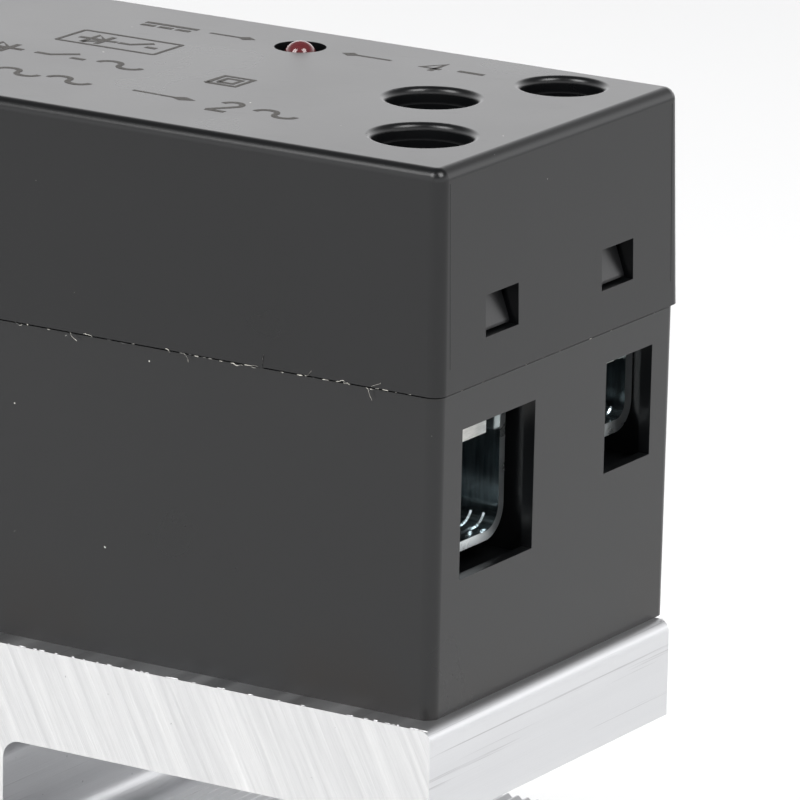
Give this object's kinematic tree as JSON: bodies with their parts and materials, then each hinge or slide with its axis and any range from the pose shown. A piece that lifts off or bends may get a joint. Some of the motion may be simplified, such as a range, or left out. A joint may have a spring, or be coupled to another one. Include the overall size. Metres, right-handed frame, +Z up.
{
  "type": "solid state relay",
  "caption": "Panel relay in a two-part black housing with cage-clamp terminals at both ends and a status lamp, on a ribbed aluminium heat sink that clips to a mounting rail.",
  "frame": {"origin": "centre of the footprint at the underside of the heat sink's foot", "axes": "+X along the housing towards the end with terminals 2 and 4, +Z up through the housing's top face"},
  "size_m": [0.112, 0.042, 0.1005],
  "materials": {
    "black_housing": "semi-gloss moulded thermoplastic",
    "raw_aluminium": "extruded, sawn ends",
    "zinc_steel": "bright zinc plated",
    "tinned_copper": "tinned, sheared ends",
    "base_metal": "milled",
    "thermal_paste": "soft pad",
    "alumina": "matte",
    "copper": "bare copper",
    "silicon": "polished",
    "gel": "soft potting",
    "board_green": "solder mask",
    "component_black": "moulded",
    "capacitor_yellow": "moulded",
    "varistor_blue": "dipped",
    "resistor_tan": "lacquered",
    "lamp_red": "clear tinted epoxy",
    "spring_steel": "drawn wire"
  },
  "bodies": {
    "relay": {"cover": "black_housing", "base_housing": "black_housing", "heat_sink": "raw_aluminium", "thermal_pad": "thermal_paste", "base_plate": "base_metal", "power_substrate": "alumina", "copper_lands": "copper", "thyristor_chips": "silicon", "gate_pins": "tinned_copper", "potting_compound": "gel", "power_bar_1": "tinned_copper", "power_bar_2": "tinned_copper", "control_bar_3": "tinned_copper", "control_bar_4": "tinned_copper", "control_board": "board_green", "optocoupler": "component_black", "driver_transistor": "component_black", "snubber_capacitor": "capacitor_yellow", "varistor": "varistor_blue", "resistors": "resistor_tan", "status_lamp": "lamp_red", "lamp_leads": "tinned_copper", "fixing_screws": "zinc_steel", "spring_washers": "zinc_steel", "latch_retainer": "zinc_steel", "retainer_screws": "zinc_steel", "latch_spring": "spring_steel"},
    "latch": {"rail_latch": "zinc_steel"},
    "screw_1": {"clamp_screw_1": "zinc_steel"},
    "cage_1": {"clamp_cage_1": "zinc_steel"},
    "screw_2": {"clamp_screw_2": "zinc_steel"},
    "cage_2": {"clamp_cage_2": "zinc_steel"},
    "screw_3": {"clamp_screw_3": "zinc_steel"},
    "cage_3": {"clamp_cage_3": "zinc_steel"},
    "screw_4": {"clamp_screw_4": "zinc_steel"},
    "cage_4": {"clamp_cage_4": "zinc_steel"}
  },
  "joints": [
    {"name": "screw_1_turn", "type": "hinge", "parent": "relay", "child": "screw_1", "pos_m": [-0.0463, -0.0084, 0.088], "axis": [0, 0, 1], "range_deg": [-3240, 0]},
    {"name": "cage_1_lift", "type": "slide", "parent": "relay", "child": "cage_1", "axis": [0, 0, 1], "range_m": [0, 0.0072]},
    {"name": "screw_2_turn", "type": "hinge", "parent": "relay", "child": "screw_2", "pos_m": [0.0463, -0.0084, 0.088], "axis": [0, 0, 1], "range_deg": [-3240, 0]},
    {"name": "cage_2_lift", "type": "slide", "parent": "relay", "child": "cage_2", "axis": [0, 0, 1], "range_m": [0, 0.0072]},
    {"name": "screw_3_turn", "type": "hinge", "parent": "relay", "child": "screw_3", "pos_m": [-0.0463, 0.0144, 0.088], "axis": [0, 0, 1], "range_deg": [-2160, 0]},
    {"name": "cage_3_lift", "type": "slide", "parent": "relay", "child": "cage_3", "axis": [0, 0, 1], "range_m": [0, 0.0042]},
    {"name": "screw_4_turn", "type": "hinge", "parent": "relay", "child": "screw_4", "pos_m": [0.0463, 0.0144, 0.088], "axis": [0, 0, 1], "range_deg": [-2160, 0]},
    {"name": "cage_4_lift", "type": "slide", "parent": "relay", "child": "cage_4", "axis": [0, 0, 1], "range_m": [0, 0.0042]},
    {"name": "latch_slide", "type": "slide", "parent": "relay", "child": "latch", "axis": [1, 0, 0], "range_m": [0, 0.004], "stiffness_N_per_m": 500, "springref_m": -0.003, "deforming": ["latch_spring"]}
  ],
  "couplings": [
    {"joint": "screw_1_turn", "follows": "cage_1_lift", "rad_per_m": -7854},
    {"joint": "screw_2_turn", "follows": "cage_2_lift", "rad_per_m": -7854},
    {"joint": "screw_3_turn", "follows": "cage_3_lift", "rad_per_m": -8976},
    {"joint": "screw_4_turn", "follows": "cage_4_lift", "rad_per_m": -8976}
  ]
}
